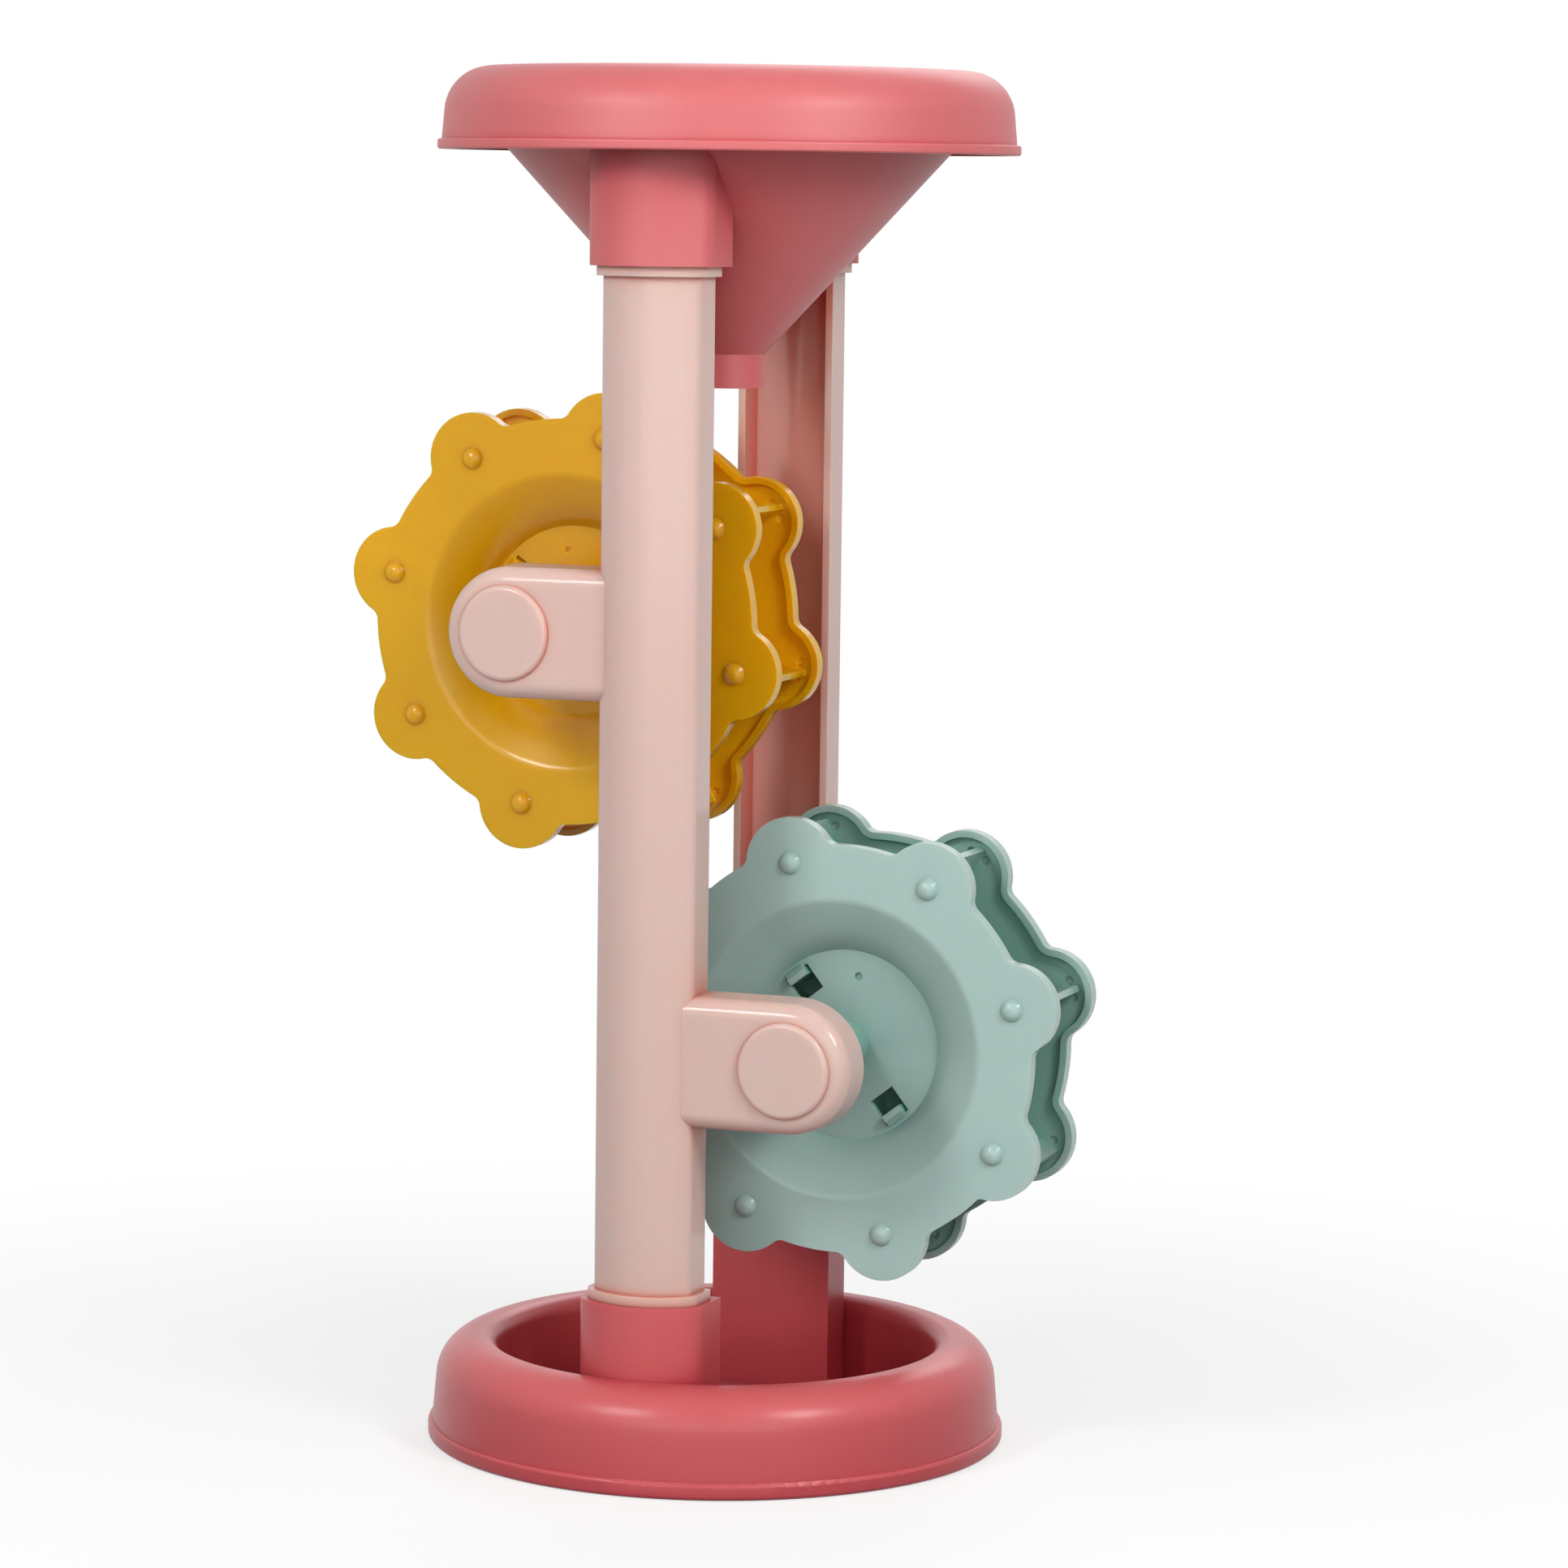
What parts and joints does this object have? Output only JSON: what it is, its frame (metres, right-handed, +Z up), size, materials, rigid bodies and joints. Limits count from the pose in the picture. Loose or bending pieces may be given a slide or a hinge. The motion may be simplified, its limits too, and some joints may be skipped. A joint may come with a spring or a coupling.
{
  "type": "sand wheel toy",
  "caption": "Upright sand and water mill: a round funnel on two posts over bucket wheels on side arms, standing in a round tray.",
  "frame": {"origin": "middle of the tray's foot on the ground, midway between the two posts", "axes": "+Z up; the wheels' axles run along Y; the front post is on the -Y side; the upper wheel is on the -X side and the lower wheel on the +X side"},
  "size_m": [0.1808, 0.1396, 0.3292],
  "materials": {
    "coral_plastic": "glossy",
    "pink_plastic": "glossy",
    "mustard_plastic": "glossy",
    "sage_plastic": "glossy"
  },
  "bodies": {
    "stand": {"tray": "coral_plastic", "funnel": "coral_plastic", "front_post": "pink_plastic", "back_post": "pink_plastic"},
    "upper_wheel": {"upper_wheel_front": "mustard_plastic", "upper_wheel_back": "mustard_plastic"},
    "lower_wheel": {"lower_wheel_front": "sage_plastic", "lower_wheel_back": "sage_plastic"}
  },
  "joints": [
    {"name": "upper_wheel_spin", "type": "hinge", "parent": "stand", "child": "upper_wheel", "pos_m": [-0.0355, 0, 0.1974], "axis": [0, 1, 0], "continuous": true},
    {"name": "lower_wheel_spin", "type": "hinge", "parent": "stand", "child": "lower_wheel", "pos_m": [0.0355, 0, 0.099], "axis": [0, 1, 0], "continuous": true}
  ]
}
